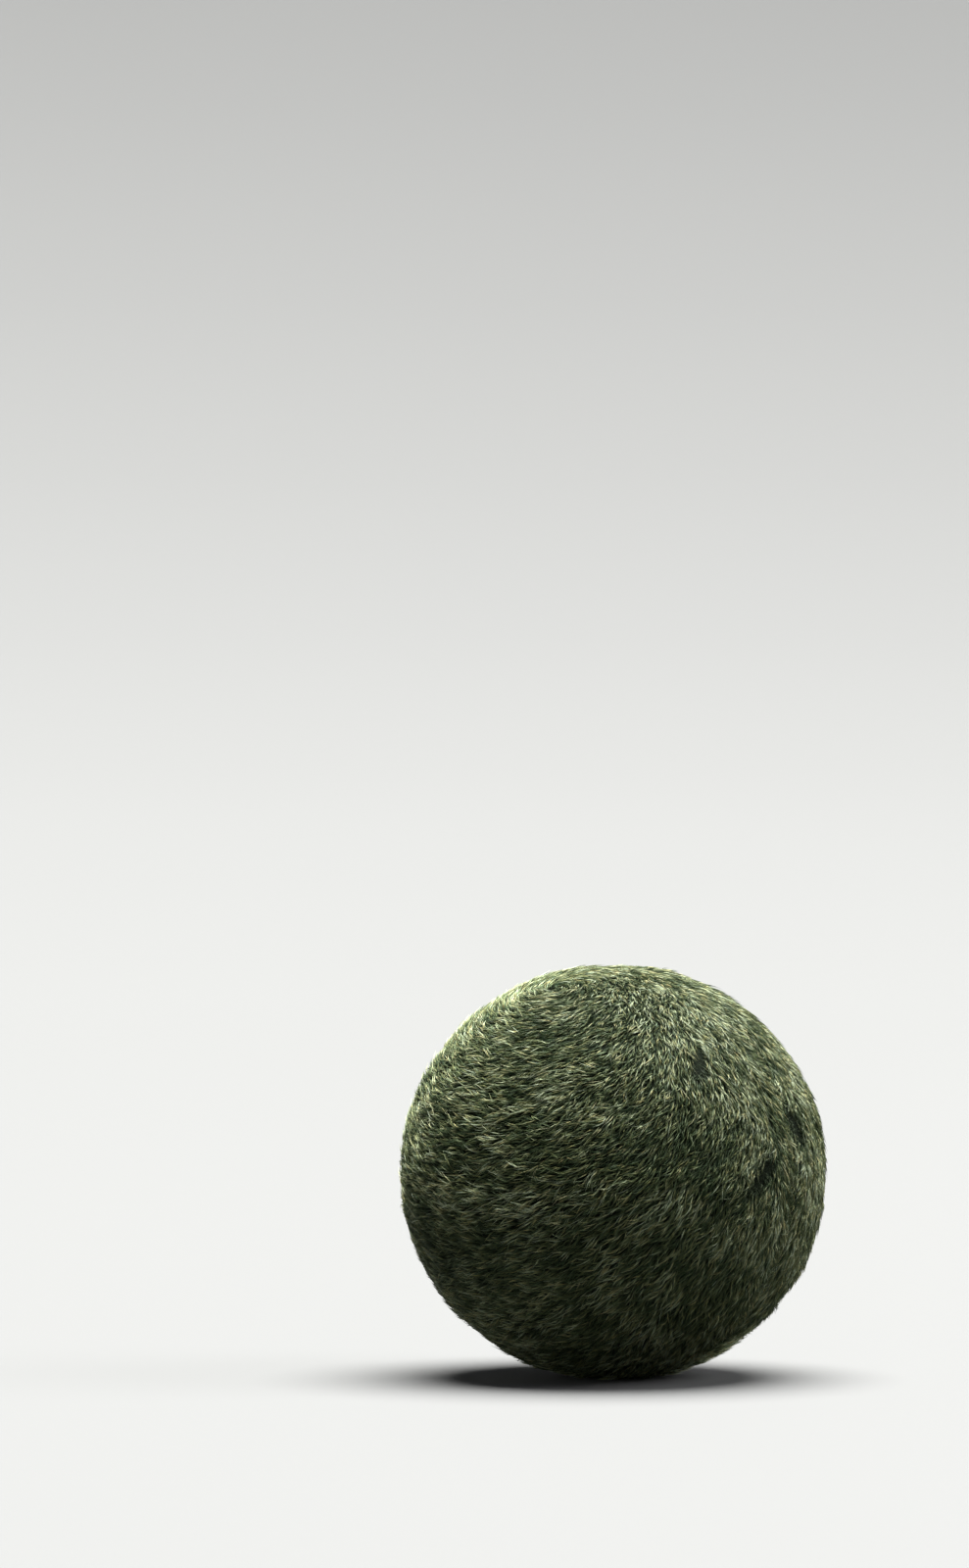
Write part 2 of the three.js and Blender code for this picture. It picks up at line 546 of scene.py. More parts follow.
@dataclass(frozen=True)
class Ball:
    """The ball's outline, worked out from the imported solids."""

    clearance: float = 0.3 * MM
    seam_azimuth: float = -33.0
    flat_radius: float = 5.8 * MM

    @property
    def radius(self) -> float:
        """Half the width across the pile tips."""
        return (PACKED_BOX[1].x - PACKED_BOX[0].x) / 2

    @property
    def height(self) -> float:
        """The height of the pile tips on top."""
        return PACKED_BOX[1].z

    @property
    def half_height(self) -> float:
        """From the middle to the top."""
        flat_share = math.sqrt(1 - (self.flat_radius / self.radius) ** 2)
        return self.height / (1 + flat_share)

    @property
    def middle(self) -> np.ndarray:
        """The ball's middle."""
        return np.array([0.0, 0.0, self.height - self.half_height])

    @property
    def hollow_radius(self) -> float:
        """The cover's inside radius, which clears the lattice."""
        low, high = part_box("cage_upper")
        return (high[0] - low[0]) / 2 + self.clearance

    def at_depth(self, directions: np.ndarray, depth: float | np.ndarray) -> np.ndarray:
        """Finds places under the pile tips.

        Args:
            directions: Unit vectors from the ball's middle.
            depth: How far under the tips, for all or for each.

        Returns:
            The places, one to a row.
        """
        half = np.array([self.radius, self.radius, self.half_height])
        share = 1 - np.broadcast_to(depth, len(directions))[:, None] / self.radius
        return self.middle + directions * half * share

    def panel_middle(self, panel: Panel) -> np.ndarray:
        """Points from the ball's middle to the middle of a panel."""
        return heading(self.seam_azimuth + 90) * panel.value


@dataclass(frozen=True)
class Spot:
    """A place on the ball where something fades in and out."""

    azimuth: float
    elevation: float
    reach: float
    amount: float

    def at(self, directions: np.ndarray) -> np.ndarray:
        """Works out how much of it there is in each direction from the ball's middle."""
        apart = np.arccos(np.clip(directions @ heading(self.azimuth, self.elevation), -1, 1))
        return self.amount * np.exp(-((apart / math.radians(self.reach)) ** 2))


@dataclass(frozen=True)
class Parting:
    """A short groove in the pile, which turns aside from it to both sides."""

    start: tuple[float, float]
    end: tuple[float, float]
    width: float
    turn: float = 1.3
    turn_reach: float = 1.6
    turn_start: float = 0.3
    straightening: float = 0.7

    def nearest(self, directions: np.ndarray) -> np.ndarray:
        """Finds the nearest places in the groove.

        Args:
            directions: Unit vectors from the ball's middle.

        Returns:
            The place that is nearest to each.
        """
        start = heading(*self.start)
        along = heading(*self.end) - start
        share = np.clip((directions - start) @ along / (along @ along), 0, 1)
        return start + share[:, None] * along

    def depth(self, directions: np.ndarray, spread: float = 1.0) -> np.ndarray:
        """Says how far into the groove, or one that much wider, each direction is: 0 to 1."""
        apart = np.linalg.norm(directions - self.nearest(directions), axis=1)
        return np.exp(-((apart / math.radians(spread * self.width)) ** 2))

    def turned_aside(self, directions: np.ndarray) -> np.ndarray:
        """Finds how the groove turns the pile.

        Args:
            directions: Unit vectors from the ball's middle.

        Returns:
            A vector along the surface for each, away from the groove.
        """
        along = heading(*self.end) - heading(*self.start)
        along /= np.linalg.norm(along)
        away = directions - self.nearest(directions)
        away -= self.straightening * (away @ along)[:, None] * along
        width = math.radians(self.width)
        apart = np.linalg.norm(away, axis=1, keepdims=True) / width
        fade = self.turn * np.exp(-((apart / self.turn_reach) ** 2))
        return away / width * (fade / np.maximum(apart, self.turn_start))


@dataclass(frozen=True)
class Nap:
    """The way the pile lies on a panel: a swirl about an axis and a drift.

    A cowlick turns the lay by its amount in degrees. A painted light spot adds its amount
    to the pile's tone: painted highlight where it is positive, painted shade where it is
    negative. The pile is lower in a parting, and painted darker there as shade.
    """

    swirl: tuple[float, float, float]
    drift: tuple[float, float, float]
    cowlicks: tuple[Spot, ...] = ()
    crests: tuple[Spot, ...] = ()
    partings: tuple[Parting, ...] = ()
    parting_loft: float = 0.7
    # How much darker the pile is painted in a parting: painted shade in the groove
    parting_tone: float = 0.6
    parting_trim: float = 0.35
    verge_trim: float = 0.55
    verge_spread: float = 2.2

    def along(self, directions: np.ndarray, lean: np.ndarray) -> np.ndarray:
        """Finds the way the fibres point.

        Args:
            directions: Unit vectors from the ball's middle to the fibres' roots.
            lean: What is added to each fibre's way, to lean it over the seam.

        Returns:
            A unit vector along the surface for each.
        """
        drift = np.array(self.drift)
        flow = np.cross(np.broadcast_to(self.swirl, directions.shape), directions)
        flow = unit(flow + drift - (directions @ drift)[:, None] * directions)
        turn = np.radians(total((spot.at(directions) for spot in self.cowlicks), directions))
        across = np.cross(directions, flow)
        return unit(np.cos(turn)[:, None] * flow + np.sin(turn)[:, None] * across + lean)

    def turned_aside(self, directions: np.ndarray) -> np.ndarray:
        """Finds how the partings turn the pile, as a vector for each direction."""
        ways = (parting.turned_aside(directions) for parting in self.partings)
        return sum(ways, np.zeros_like(directions))

    def parted(self, directions: np.ndarray, spread: float = 1.0) -> np.ndarray:
        """Says how far into a parting, or one that much wider, each direction is."""
        depths = (parting.depth(directions, spread) for parting in self.partings)
        return np.minimum(total(depths, directions), 1)

    def loft(self, directions: np.ndarray) -> np.ndarray:
        """Finds the share of the pile's full height that is left at each root."""
        return 1 - self.parting_loft * self.parted(directions)

    def trim(self, directions: np.ndarray) -> np.ndarray:
        """Finds the share of its full length that the pile has at each root."""
        verge = self.verge_trim * self.parted(directions, self.verge_spread)
        return 1 - verge - self.parting_trim * self.parted(directions)

    def shade(self, directions: np.ndarray) -> np.ndarray:
        """Finds the painted highlight and painted shade at each root, as how much paler the pile is.
        """
        # Painted highlights, and painted shade where an amount is negative
        crests = total((spot.at(directions) for spot in self.crests), directions)
        # Partings are painted darker, as shade in the groove
        return crests - self.parting_tone * self.parted(directions)


# The cover's pieces


def in_scene(name: str, data: bpy.types.ID) -> bpy.types.Object:
    """Puts a mesh, light or camera in the scene as an object.

    Args:
        name: The object's name.
        data: What it holds.

    Returns:
        The object, at the origin.
    """
    made = bpy.data.objects.new(name, data)
    bpy.context.collection.objects.link(made)
    return made


def joined(near: int, far: int, side: int, sides: int) -> tuple[int, ...]:
    """Lists the points of one face that joins two rings.

    Args:
        near: The number of the first ring's first point.
        far: The number of the second ring's first point.
        side: Which of the faces between the rings it is.
        sides: How many there are.

    Returns:
        The face's points.
    """
    after = (side + 1) % sides
    return (near + side, far + side, far + after, near + after)


def mesh_object(name: str, points: np.ndarray, faces: list[Any]) -> bpy.types.Object:
    """Makes an object from points and faces.

    Args:
        name: The object's name.
        points: One point to a row.
        faces: Each face's points, by number.

    Returns:
        The object, in the scene, with its place in its mesh.
    """
    mesh = bpy.data.meshes.new(name)
    mesh.from_pydata(points.tolist(), [], faces)
    mesh.validate()
    mesh.shade_smooth()
    return in_scene(name, mesh)


@dataclass(frozen=True)
class HalfDome:
    """A grid of rings over one panel, from its middle out to the seam."""

    ball: Ball
    panel: Panel
    rings: int
    sides: int

    def directions(self) -> np.ndarray:
        """Points out through the grid.

        Returns:
            A unit vector through the panel's middle, then those round each ring in turn.
        """
        out = self.ball.panel_middle(self.panel)
        up = np.array([0.0, 0.0, 1.0])
        across = np.cross(up, out)
        tilt = np.linspace(0, math.pi / 2, self.rings + 1)[1:, None]
        turn = np.linspace(0, 2 * math.pi, self.sides, endpoint=False)[None, :]
        spread = np.sin(tilt)[..., None] * (
            np.cos(turn)[..., None] * across + np.sin(turn)[..., None] * up
        )
        grid = np.cos(tilt)[..., None] * out + spread
        return np.vstack([out[None], grid.reshape(-1, 3)])

    def towards_seam(self) -> np.ndarray:
        """Says how near the seam each point is, from 0 in the middle to 1 there."""
        rings = np.repeat(np.arange(1, self.rings + 1), self.sides) / self.rings
        return np.concatenate([[0.0], rings])

    def faces(self, first: int = 0, inside: bool = False) -> list[tuple[int, ...]]:
        """Lists the grid's faces.

        Args:
            first: The number of the grid's first point.
            inside: Whether the faces look towards the ball's middle.

        Returns:
            Each face's points.
        """
        found = []
        starts = range(1, 1 + (self.rings - 1) * self.sides, self.sides)
        for side in range(self.sides):
            found.append((0, 1 + side, 1 + (side + 1) % self.sides))
            found += [joined(near, near + self.sides, side, self.sides) for near in starts]
        step = -1 if inside else 1
        return [tuple(first + point for point in face[::step]) for face in found]


@dataclass(frozen=True)
class Coat:
    """One length of fibre on a panel, and how it grows."""

    name: str
    fibres: int
    steps: int
    locks_per_mm2: float
    length: float
    width: float
    rise: float
    gathering: float
    wander: float
    curl: float
    tone: float
    tone_spread: float
    finish: PileFinish


class PileTree:
    """The Geometry Nodes tree that grows a coat of fibres on a panel.

    A span is the least and the most that a random draw or a noise comes to: a swing is
    a share of the coat's wander, a rise or reach a share of its own, and a tone a share
    of its spread of tones. Patches have their fineness, against the coat's patch size,
    and the detail in their noise.
    """

    SWING_PATCHES = (1.0, 3.0)
    RISE_PATCHES = (0.7, 2.0)
    TONE_PATCHES = (0.4, 2.0)
    PATCH_SWING = (-1.0, 1.0)
    LOCK_SWING = (-0.5, 0.5)
    FIBRE_SWING = (-0.75, 0.75)
    RIDGE_RISE = (0.5, 1.2)
    LOCK_RISE = (0.6, 1.0)
    FIBRE_RISE = (0.75, 1.1)
    FIBRE_REACH = (0.6, 1.15)
    PATCH_TONE = (-0.35, 0.35)
    LOCK_TONE = (-0.5, 0.5)
    FIBRE_TONE = (-0.42, 0.42)
    CURL = (-1.0, 1.0)
    TONES = (0.02, 0.98)
    MAP_ALONG = (0.96, 0.02)  # the fibre's share of its map, and where it starts
    MAP_ROUND = (0.008, 0.01)  # how far the fibre's sides stand apart in its map

    def __init__(self) -> None:
        """Builds the tree."""
        tree = GeometryTree.group("Pile", "GeometryNodeTree")
        number, vector = "NodeSocketFloat", "NodeSocketVector"
        names = {"Panel": "NodeSocketGeometry", "Middle": vector}
        names |= dict.fromkeys(("Fibres per m2", "Locks per m2", "Length", "Width"), number)
        names |= dict.fromkeys(("Rise", "Gathering", "Wander", "Patch size", "Curl"), number)
        names |= dict.fromkeys(("Tone", "Tone spread", "Tone skew", "Floor"), number)
        names |= {"Finish": "NodeSocketMaterial", "Steps": "NodeSocketInt", "Seed": "NodeSocketInt"}
        self.given = tree.takes(names)
        self.tree = tree
        self.facts = ["nap", "loft", "trim", "shade"]
        locks = self.sow_locks()
        fibres = self.grow(self.sow_roots(locks))
        whole = tree.node("GeometryNodeRealizeInstances", {"Geometry": fibres}).outputs[0]
        sockets = {"Geometry": whole, "Material": self.given["Finish"]}
        dressed = tree.node("GeometryNodeSetMaterial", sockets).outputs[0]
        tree.gives("Fibres", "NodeSocketGeometry", dressed)

    def seed(self, step: int) -> bpy.types.NodeSocket:
        """Gives each random draw a seed of its own."""
        return self.tree.plus(self.given["Seed"], step)

    def draw(self, span: Span, step: int) -> bpy.types.NodeSocket:
        """Draws a number in a span for each point or fibre, by the draw's own seed."""
        return self.tree.random(span, self.seed(step))

    def patches(self, place: Any, fineness: float, detail: float) -> bpy.types.NodeSocket:
        """Makes a noise in patches, that much finer than the coat's patch size."""
        scale = self.tree.math("DIVIDE", fineness, self.given["Patch size"])
        return self.tree.noise(place, scale, detail)

    def sow_locks(self) -> bpy.types.NodeSocket:
        """Scatters the locks that the fibres gather into.

        Returns:
            A point for each lock, which holds the way that its fibres lie.
        """
        tree, given = self.tree, self.given
        sown = tree.sown(given["Panel"], given["Locks per m2"], self.seed(0))
        place = tree.node("GeometryNodeInputPosition").outputs[0]
        swing = tree.mapped(self.patches(place, *self.SWING_PATCHES), ALL_NOISE, self.PATCH_SWING)
        swing = tree.times(tree.plus(swing, self.draw(self.LOCK_SWING, 1)), given["Wander"])
        lay = tree.turned(tree.named("nap"), sown.outputs["Normal"], swing)
        return tree.stored(sown.outputs["Points"], "lay", lay)

    def sow_roots(self, locks: bpy.types.NodeSocket) -> bpy.types.NodeSocket:
        """Scatters the fibres' roots, each with the facts of its fibre.

        Args:
            locks: The locks' points.

        Returns:
            A point for each fibre.
        """
        tree, given = self.tree, self.given
        place = tree.node("GeometryNodeInputPosition").outputs[0]
        sockets = {"Geometry": locks, "Sample Position": place}
        nearest = tree.node("GeometryNodeSampleNearest", sockets).outputs["Index"]
        sown = tree.sown(given["Panel"], given["Fibres per m2"], self.seed(2))
        points, normal = sown.outputs["Points"], sown.outputs["Normal"]
        lock = tree.picked(locks, place, nearest, "FLOAT_VECTOR")
        lay = tree.picked(locks, tree.named("lay"), nearest, "FLOAT_VECTOR")
        stray = tree.times(self.draw(self.FIBRE_SWING, 3), given["Wander"])
        pull = tree.scaled(tree.vector("SUBTRACT", lock, place), given["Gathering"])
        vectors = {"lay": tree.turned(lay, normal, stray), "pull": pull, "root": place}
        for name, value in vectors.items():
            points = tree.stored(points, name, value)
        ridges = tree.mapped(self.patches(place, *self.RISE_PATCHES), MOST_NOISE, self.RIDGE_RISE)
        rise = tree.picked(locks, self.draw(self.LOCK_RISE, 4), nearest, "FLOAT")
        rise = tree.times(tree.named("loft", "FLOAT"), tree.times(rise, ridges))
        rise = tree.times(given["Rise"], rise)
        reach = tree.times(given["Length"], self.draw(self.FIBRE_REACH, 6))
        numbers = {
            "rise": tree.times(rise, self.draw(self.FIBRE_RISE, 5)),
            "reach": tree.times(reach, tree.named("trim", "FLOAT")),
            "curl": tree.times(given["Curl"], self.draw(self.CURL, 7)),
            "tone": self.tone(locks, nearest, place),
        }
        for name, value in numbers.items():
            points = tree.stored(points, name, value, "FLOAT")
        self.facts += [*vectors, *numbers]
        return points

    def tone(self, locks: Any, nearest: Any, place: Any) -> bpy.types.NodeSocket:
        """Works out how dark or pale a fibre is.

        Args:
            locks: The locks' points.
            nearest: The fibre's own lock.
            place: The fibre's root.

        Returns:
            Its tone, from 0 to 1.
        """
        tree, given = self.tree, self.given
        by_lock = tree.picked(locks, self.draw(self.LOCK_TONE, 8), nearest, "FLOAT")
        by_patch = tree.mapped(self.patches(place, *self.TONE_PATCHES), WIDE_NOISE, self.PATCH_TONE)
        spread = tree.plus(by_lock, self.draw(self.FIBRE_TONE, 9), by_patch)
        spread = tree.times(spread, given["Tone spread"])
        # The shade attribute adds painted highlight and painted shade to the fibre's tone
        tone = tree.plus(given["Tone"], spread, tree.named("shade", "FLOAT"))
        tone = tree.math("POWER", tree.math("MAXIMUM", tone, 0.0), given["Tone skew"])
        return tree.mapped(tone, (0.0, 1.0), self.TONES)

    def grow(self, roots: bpy.types.NodeSocket) -> bpy.types.NodeSocket:
        """Grows a fibre from each root.

        Args:
            roots: A point for each fibre, with its facts.

        Returns:
            The fibres.
        """
        tree = self.tree
        sockets = {"Vertices": 3, "Side Segments": self.given["Steps"]}
        sockets |= {"Radius Top": 0.0, "Radius Bottom": 1.0, "Depth": 1.0}
        blank = tree.node("GeometryNodeMeshCone", sockets).outputs["Mesh"]
        roll = tree.whole(0.0, 0.0, self.draw((0.0, 2 * math.pi), 10))
        sockets = {"Points": roots, "Instance": blank, "Rotation": roll}
        fibres = tree.node("GeometryNodeInstanceOnPoints", sockets).outputs["Instances"]
        fibres = tree.node("GeometryNodeRealizeInstances", {"Geometry": fibres}).outputs[0]

        root = tree.named("root")
        place = tree.node("GeometryNodeInputPosition").outputs[0]
        own = tree.parts(tree.vector("SUBTRACT", place, root))
        ring = tree.vector("NORMALIZE", tree.whole(own["X"], own["Y"], 0.0))
        sides = tree.parts(ring)
        along = tree.times(own["Z"], tree.named("trim", "FLOAT"))
        along = tree.math("MULTIPLY_ADD", along, *self.MAP_ALONG)
        along = tree.math("MULTIPLY_ADD", sides["Y"], self.MAP_ROUND[1], along)
        tone = tree.named("tone", "FLOAT")
        tone = tree.math("MULTIPLY_ADD", sides["X"], self.MAP_ROUND[0], tone)
        chart = tree.whole(along, tone, 0.0)
        fibres = tree.stored(fibres, FIBRE_MAP, chart, "FLOAT2", "CORNER")
        sockets = {"Geometry": fibres, "Position": self.shaped(root, own["Z"], ring)}
        fibres = tree.node("GeometryNodeSetPosition", sockets).outputs[0]
        for name in self.facts:
            sockets = {"Geometry": fibres, "Name": name}
            fibres = tree.node("GeometryNodeRemoveAttribute", sockets).outputs[0]
        return tree.node("GeometryNodeSetShadeSmooth", {"Geometry": fibres}).outputs[0]

    def shaped(self, root: Any, along: Any, ring: Any) -> bpy.types.NodeSocket:
        """Bends each fibre over from its root, along the nap and into its lock.

        Args:
            root: Where the fibre starts.
            along: How far along the fibre a point is, from 0 to 1.
            ring: Which way the point lies from the fibre's own middle line.

        Returns:
            Where the point goes.
        """
        tree, given = self.tree, self.given
        middle, lay = given["Middle"], tree.named("lay")
        out = tree.vector("SUBTRACT", root, middle)
        across = tree.vector("NORMALIZE", tree.vector("CROSS_PRODUCT", out, lay))
        reach = tree.times(tree.named("reach", "FLOAT"), along)
        sideways = tree.times(tree.named("curl", "FLOAT"), along, reach)
        line = tree.vector("ADD", root, tree.scaled(lay, reach))
        line = tree.vector("ADD", line, tree.scaled(across, sideways))
        line = tree.vector("ADD", line, tree.scaled(tree.named("pull"), along))
        line_out = tree.vector("NORMALIZE", tree.vector("SUBTRACT", line, middle))
        left = tree.math("SUBTRACT", 1.0, along)
        lift = tree.math("SUBTRACT", 1.0, tree.times(left, left))
        lift = tree.times(lift, tree.named("rise", "FLOAT"))
        line = tree.scaled(line_out, tree.plus(tree.length(out), lift))
        line = tree.vector("ADD", middle, line)
        thick = tree.math("SQRT", tree.math("MAXIMUM", 0.0, left))
        thick = tree.times(thick, tree.times(given["Width"], 0.5), tree.named("trim", "FLOAT"))
        ring = tree.parts(ring)
        girth = tree.vector("ADD", tree.scaled(across, ring["X"]), tree.scaled(line_out, ring["Y"]))
        whole = tree.parts(tree.vector("ADD", line, tree.scaled(girth, thick)))
        return tree.whole(whole["X"], whole["Y"], tree.math("MAXIMUM", whole["Z"], given["Floor"]))

    def run(self, ground: bpy.types.Object, name: str, values: dict[str, Any]) -> bpy.types.Object:
        """Grows a coat and makes it a plain mesh.

        Args:
            ground: The surface that the coat grows on.
            name: The new piece's name.
            values: Each input's value, by name.

        Returns:
            The new piece.
        """
        modifier = ground.modifiers.new("Pile", "NODES")
        modifier.node_group = self.tree.tree
        for item in self.tree.tree.interface.items_tree:
            if item.in_out == "INPUT" and item.name in values:
                modifier[item.identifier] = values[item.name]
        graph = bpy.context.evaluated_depsgraph_get()
        mesh = bpy.data.meshes.new_from_object(ground.evaluated_get(graph), depsgraph=graph)
        mesh.name = name
        ground.modifiers.remove(modifier)
        return in_scene(name, mesh)


@dataclass(frozen=True)
class CoverPanel:
    """One panel of the cover: its backing shell and the coats of pile on it."""

    ball: Ball
    panel: Panel
    nap: Nap
    coats: tuple[Coat, ...]
    backing: BackingFinish
    dyehouse: Dyehouse
    tree: PileTree
    seed: int
    pile_depth: float = 0.7 * MM
    seam_dip: float = 0.3 * MM
    dip_start: float = 0.93
    seam_lean: float = 0.9
    lean_start: float = 0.9
    seam_loft: float = 0.2
    patch_size: float = 2.5 * MM
    tone_skew: float = 1.5
    pile_floor: float = 0.05 * MM
    floor_gap: float = 0.5 * MM
    rings: int = 30
    sides: int = 96
    ground_fineness: int = 3

    @property
    def node(self) -> str:
        """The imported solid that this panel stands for."""
        return f"pile_cover_{self.panel.name.lower()}"

    def outer_points(self, dome: HalfDome) -> np.ndarray:
        """Finds the backing's outside, which dips at the seam and flattens below.

        Args:
            dome: The grid that it is made on.

        Returns:
            The place of each of the grid's points.
        """
        dip = np.clip((dome.towards_seam() - self.dip_start) / (1 - self.dip_start), 0, 1) ** 2
        points = self.ball.at_depth(dome.directions(), self.pile_depth + self.seam_dip * dip)
        points[:, 2] = np.maximum(points[:, 2], self.floor_gap)
        return points

    def shifted(self, points: np.ndarray) -> np.ndarray:
        """Moves points off the seam by half the clearance between the panels."""
        return points + self.ball.panel_middle(self.panel) * self.ball.clearance / 2

    def make_backing(self) -> bpy.types.Object:
        """Makes the backing shell, closed along the seam.

        Returns:
            The shell.
        """
        dome = HalfDome(self.ball, self.panel, self.rings, self.sides)
        outer = self.outer_points(dome)
        inner = self.ball.middle + dome.directions() * self.ball.hollow_radius
        count = len(outer)
        faces = dome.faces() + dome.faces(first=count, inside=True)
        last = count - self.sides
        faces += [joined(last, count + last, side, self.sides) for side in range(self.sides)]
        points = self.shifted(np.vstack([outer, inner]))
        made = mesh_object(f"{self.node}_backing", points, faces)
        made.data.materials.append(self.dyehouse.dress(self.backing))
        return made

    def make_ground(self) -> bpy.types.Object:
        """Makes the surface that the pile grows on.

        Returns:
            The surface, which holds the way that the pile lies and how it is parted.
        """
        finer = self.ground_fineness
        dome = HalfDome(self.ball, self.panel, self.rings * finer, self.sides * finer)
        points = self.shifted(self.outer_points(dome))
        made = mesh_object(f"{self.node}_ground", points, dome.faces())
        directions = dome.directions()
        by_seam = np.clip((dome.towards_seam() - self.lean_start) / (1 - self.lean_start), 0, 1)
        lean = -self.ball.panel_middle(self.panel) * (self.seam_lean * by_seam)[:, None]
        lean += self.nap.turned_aside(directions)
        nap = made.data.attributes.new("nap", "FLOAT_VECTOR", "POINT")
        nap.data.foreach_set("vector", self.nap.along(directions, lean).ravel())
        facts = {
            "loft": self.nap.loft(directions) * (1 - self.seam_loft * by_seam),
            "trim": self.nap.trim(directions),
            # Painted highlight and painted shade, which the pile's tone takes up
            "shade": self.nap.shade(directions),
        }
        for name, values in facts.items():
            made.data.attributes.new(name, "FLOAT", "POINT").data.foreach_set("value", values)
        return made

    def grow(self, coat: Coat, ground: bpy.types.Object) -> bpy.types.Object:
        """Grows one coat of pile.

        Args:
            coat: The coat.
            ground: The surface that it grows on.

        Returns:
            The coat's piece.
        """
        area = sum(face.area for face in ground.data.polygons)
        values = as_inputs(coat) | {
            "Middle": tuple(self.ball.middle),
            "Fibres per m2": coat.fibres / area,
            "Locks per m2": coat.locks_per_mm2 / MM**2,
            "Wander": math.radians(coat.wander),
            "Patch size": self.patch_size,
            "Tone skew": self.tone_skew,
            "Floor": self.pile_floor,
            "Finish": self.dyehouse.dress(coat.finish),
            "Seed": self.seed,
        }
        return self.tree.run(ground, f"{self.node}_{coat.name}", values)

    def build(self) -> list[bpy.types.Object]:
        """Makes the panel's pieces.

        Returns:
            The pieces, backing first.
        """
        made = [self.make_backing()]
        ground = self.make_ground()
        made += [self.grow(coat, ground) for coat in self.coats]
        bpy.data.objects.remove(ground)
        for piece in made:
            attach(piece, BODY)
            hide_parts(self.node)
        return made


@dataclass(frozen=True)
class Cage:
    """The lattice inside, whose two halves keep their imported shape."""

    finish: MouldedFinish
    dyehouse: Dyehouse

    def build(self) -> list[bpy.types.Object]:
        """Dresses the two halves.

        Returns:
            The halves.
        """
        material = self.dyehouse.dress(self.finish)
        halves = [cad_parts[name] for name in ("cage_upper", "cage_lower")]
        for half in halves:
            for place in half.material_slots:
                place.material = material
        return halves


# The studio


@dataclass(frozen=True)
class Light:
    """A soft light aimed at the ball."""

    name: str
    azimuth: float
    elevation: float
    power: float
    tint: Tint = (1.0, 1.0, 1.0)
    distance: float = 1.3

    def hang(self, kind: str, middle: Vector) -> bpy.types.Light:
        """Hangs the light.

        Args:
            kind: Blender's name for its kind.
            middle: What it is aimed at.

        Returns:
            The light.
        """
        light = bpy.data.lights.new(self.name, kind)
        light.energy, light.color = self.power, self.tint
        back = Vector(heading(self.azimuth, self.elevation))
        made = in_scene(self.name, light)
        made.location = middle + back * self.distance
        made.rotation_euler = back.to_track_quat("Z", "Y").to_euler()
        return light


@dataclass(frozen=True)
class Skylight(Light):
    """The whole ceiling as one wide soft light."""

    spread: float = 50.0

    def place(self, middle: Vector) -> None:
        """Hangs the light over the ball's middle."""
        self.hang("SUN", middle).angle = math.radians(self.spread)


@dataclass(frozen=True)
class Softbox(Light):
    """A square of soft light."""

    side: float = 0.7

    def place(self, middle: Vector) -> None:
        """Hangs the light beside the ball's middle."""
        light = self.hang("AREA", middle)
        light.shape, light.size = "SQUARE", self.side


@dataclass(frozen=True)
class Camera:
    """Square on to the ball from in front, with the ball low and right in the picture."""

    picture: tuple[int, int] = (989, 1600)
    ball_width: float = 0.443
    ball_right: float = 0.133
    ball_down: float = 0.2475
    distance: float = 0.8
    sensor: float = 36.0

    def place(self, ball: Ball) -> None:
        """Makes the camera.

        Args:
            ball: What it looks at.
        """
        wide, high = self.picture
        seen_width = 2 * ball.radius / self.ball_width
        seen_height = seen_width * high / wide
        right = self.ball_right * seen_width
        down = self.ball_down * seen_height
        data = bpy.data.cameras.new("camera")
        data.sensor_width = self.sensor
        data.lens = self.sensor * self.distance / seen_height
        made = in_scene("camera", data)
        made.location = Vector(ball.middle) + Vector((-right, -self.distance, down))
        made.rotation_euler = (math.pi / 2, 0.0, 0.0)
        bpy.context.scene.camera = made


@dataclass(frozen=True)
class Studio:
    """A pale round cove, soft light from nearly overhead and a little from the right."""

    lights: tuple[Skylight | Softbox, ...]
    paper: PaperFinish
    room_light: Colour = (0.92, 1.0, 1.18, 1.0)
    room_strength: float = 0.078
    floor_radius: float = 1.4
    cove_radius: float = 1.6
    wall_height: float = 0.4
    sides: int = 96
    cove_steps: int = 16

    def make_cove(self) -> bpy.types.Object:
        """Makes the floor, which curves up into a wall all round.

        Returns:
            The floor and wall, not yet papered.
        """
        bend = np.linspace(0, math.pi / 2, self.cove_steps + 1)
        radii = np.concatenate(
            [[self.floor_radius / 2], self.floor_radius + self.cove_radius * np.sin(bend)]
        )
        rises = np.concatenate([[0.0], self.cove_radius * (1 - np.cos(bend))])
        radii = np.append(radii, radii[-1])
        rises = np.append(rises, rises[-1] + self.wall_height)
        turn = np.linspace(0, 2 * math.pi, self.sides, endpoint=False)
        rings = [
            np.stack([r * np.cos(turn), r * np.sin(turn), np.full(self.sides, z)], axis=1)
            for r, z in zip(radii, rises)
        ]
        faces: list[Any] = [tuple(range(self.sides))]
        for near in range(0, (len(rings) - 1) * self.sides, self.sides):
            faces += [joined(near, near + self.sides, side, self.sides) for side in range(self.sides)]
        return mesh_object("cove", np.vstack(rings), faces)

    def build(self, ball: Ball, dyehouse: Dyehouse) -> None:
        """Lights the ball and sets it on the floor.

        Args:
            ball: The ball.
            dyehouse: Where the paper comes from.
        """
        cove = self.make_cove()
        cove.data.materials.append(dyehouse.dress(self.paper))
        for light in self.lights:
            light.place(Vector(ball.middle))
        world = bpy.data.worlds.new("room")
        world.use_nodes = True
        background = world.node_tree.nodes["Background"]
        background.inputs["Color"].default_value = self.room_light
        background.inputs["Strength"].default_value = self.room_strength
        bpy.context.scene.world = world
        bpy.context.scene.view_settings.view_transform = "Standard"


# What this ball is made of

